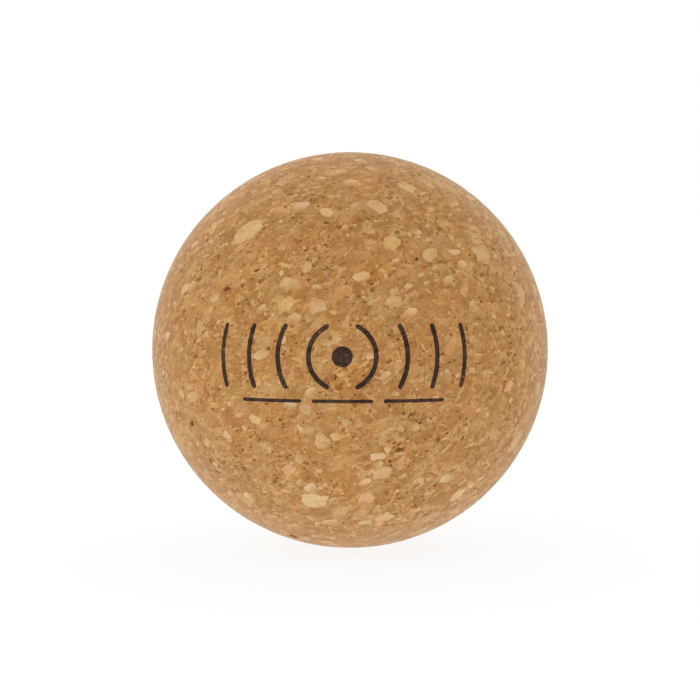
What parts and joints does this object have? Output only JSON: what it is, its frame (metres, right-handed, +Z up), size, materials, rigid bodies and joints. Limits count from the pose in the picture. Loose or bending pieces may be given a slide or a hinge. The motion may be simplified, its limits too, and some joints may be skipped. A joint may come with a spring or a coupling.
{
  "type": "massage ball",
  "caption": "Solid round massage ball of pressed cork granulate with large bark granules showing in its sanded surface and a small printed ripple mark.",
  "frame": {"origin": "centre of the ball", "axes": "+Z up from the point the ball rests on, -Y towards the printed mark, +X to the right of the mark"},
  "size_m": [0.065, 0.065, 0.065],
  "materials": {
    "cork": "sanded agglomerated cork, matt, fine tan granulate with dark specks",
    "granule_cream": "pale cream bark granule with faint growth streaks, matt",
    "granule_straw": "straw yellow bark granule, matt",
    "granule_tan": "tan bark granule with a darker rim, matt",
    "granule_pink": "pale pinkish tan bark granule, matt",
    "print_ink": "dark brown pad-printed ink, thin and matt, slightly worn"
  },
  "bodies": {
    "root": {"back_granule_01": "granule_cream", "back_granule_02": "granule_tan", "back_granule_03": "granule_straw", "back_granule_04": "granule_pink", "back_granule_05": "granule_cream", "back_granule_06": "granule_tan", "back_granule_07": "granule_straw", "back_granule_08": "granule_pink", "back_granule_09": "granule_cream", "back_granule_10": "granule_tan", "back_granule_11": "granule_straw", "back_granule_12": "granule_pink", "back_granule_13": "granule_cream", "back_granule_14": "granule_tan", "back_granule_15": "granule_straw", "back_granule_16": "granule_pink", "cork_body": "cork", "front_granule_01": "granule_cream", "front_granule_02": "granule_tan", "front_granule_03": "granule_straw", "front_granule_04": "granule_cream", "front_granule_05": "granule_pink", "front_granule_06": "granule_tan", "front_granule_07": "granule_straw", "front_granule_08": "granule_cream", "front_granule_09": "granule_tan", "front_granule_10": "granule_cream", "front_granule_11": "granule_straw", "front_granule_12": "granule_tan", "front_granule_13": "granule_straw", "front_granule_14": "granule_straw", "front_granule_15": "granule_cream", "front_granule_16": "granule_tan", "front_granule_17": "granule_cream", "front_granule_18": "granule_cream", "front_granule_19": "granule_tan", "front_granule_20": "granule_cream", "front_granule_21": "granule_pink", "front_granule_22": "granule_cream", "front_granule_23": "granule_cream", "front_granule_24": "granule_pink", "front_granule_25": "granule_tan", "front_granule_26": "granule_tan", "front_granule_27": "granule_tan", "front_granule_28": "granule_straw", "front_granule_29": "granule_tan", "front_granule_30": "granule_tan", "print_dot": "print_ink", "print_line_left": "print_ink", "print_line_middle": "print_ink", "print_line_right": "print_ink", "print_ripple_left_1": "print_ink", "print_ripple_left_2": "print_ink", "print_ripple_left_3": "print_ink", "print_ripple_left_4": "print_ink", "print_ripple_right_1": "print_ink", "print_ripple_right_2": "print_ink", "print_ripple_right_3": "print_ink", "print_ripple_right_4": "print_ink"}
  },
  "joints": []
}
